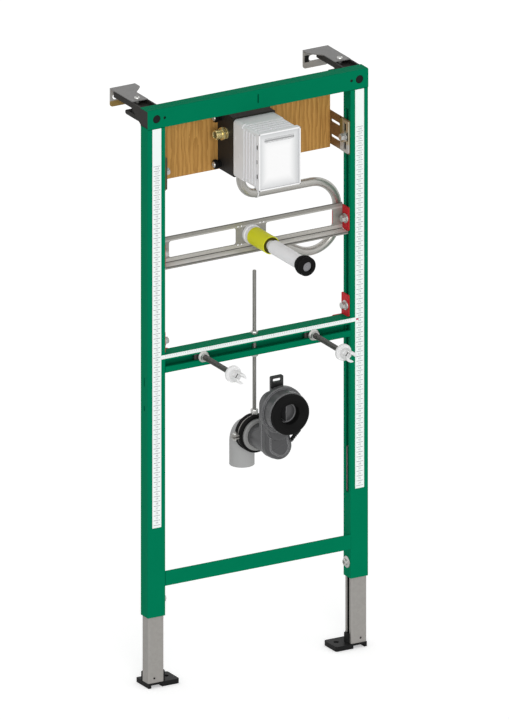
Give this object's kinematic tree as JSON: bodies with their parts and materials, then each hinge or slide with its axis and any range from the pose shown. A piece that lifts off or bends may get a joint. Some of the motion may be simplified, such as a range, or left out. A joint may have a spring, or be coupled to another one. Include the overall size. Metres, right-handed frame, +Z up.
{
  "type": "urinal installation frame",
  "caption": "Slim steel wall frame on telescopic legs with a flush valve box, bent flush pipe, inlet connector, fixing studs and siphon for a wall hung urinal.",
  "frame": {"origin": "on the rear face of the left wall bracket's flange, below its slot", "axes": "+X to the right seen from the front, +Y towards the wall, +Z up along the uprights"},
  "size_m": [0.5, 0.351, 1.208],
  "materials": {
    "green_paint": "satin powder coat",
    "galvanised": "galvanised, dull",
    "bright_zinc": "bright zinc plate",
    "yellow_zinc": "yellow passivated zinc plate",
    "black_plastic": "moulded, satin",
    "dark_grey_plastic": "moulded, satin",
    "trap_plastic": "moulded, satin",
    "white_plastic": "moulded, satin",
    "clear_white_plastic": "translucent",
    "lime_plastic": "moulded, satin",
    "grey_plastic": "moulded, satin",
    "red_plastic": "red coat",
    "black_rubber": "matt",
    "brass": "turned",
    "steel_tube": "satin stainless",
    "plywood": "sawn plywood"
  },
  "bodies": {
    "frame": {"left_upright": "green_paint", "right_upright": "green_paint", "top_rail": "green_paint", "mounting_rail": "green_paint", "bottom_rail": "green_paint", "left_corner_connector": "dark_grey_plastic", "right_corner_connector": "dark_grey_plastic", "left_wall_bracket": "galvanised", "right_wall_bracket": "galvanised", "left_board_bracket": "yellow_zinc", "right_board_bracket": "yellow_zinc", "left_stud": "galvanised", "right_stud": "galvanised", "rail_plugs": "black_plastic", "leg_screws": "bright_zinc", "board_clamps": "yellow_zinc", "traverse_clamps": "red_plastic", "rail_clamps": "red_plastic", "clamp_bolts": "bright_zinc", "stud_nuts": "bright_zinc", "stud_caps": "clear_white_plastic", "back_board": "plywood", "valve_backing": "dark_grey_plastic", "rubber_mounts": "black_rubber", "water_inlet_nipple": "brass", "valve_box": "white_plastic", "valve_box_lid": "white_plastic", "flush_pipe": "steel_tube", "inlet_collar": "white_plastic", "inlet_sleeve": "lime_plastic", "inlet_tube": "white_plastic", "inlet_seal": "black_rubber", "traverse": "galvanised", "drain_elbow": "grey_plastic", "socket_lip": "grey_plastic", "clamp_rubber": "black_rubber", "pipe_clamp": "galvanised", "drain_rod": "galvanised", "rod_nuts": "bright_zinc", "trap_body": "trap_plastic", "trap_gasket": "black_rubber"},
    "left_leg": {"left_leg": "galvanised", "left_foot": "black_plastic"},
    "right_leg": {"right_leg": "galvanised", "right_foot": "black_plastic"}
  },
  "joints": [
    {"name": "left_leg_slide", "type": "slide", "parent": "frame", "child": "left_leg", "axis": [0, 0, 1], "range_m": [-0.052, 0.112]},
    {"name": "right_leg_slide", "type": "slide", "parent": "frame", "child": "right_leg", "axis": [0, 0, 1], "range_m": [-0.052, 0.112]}
  ]
}
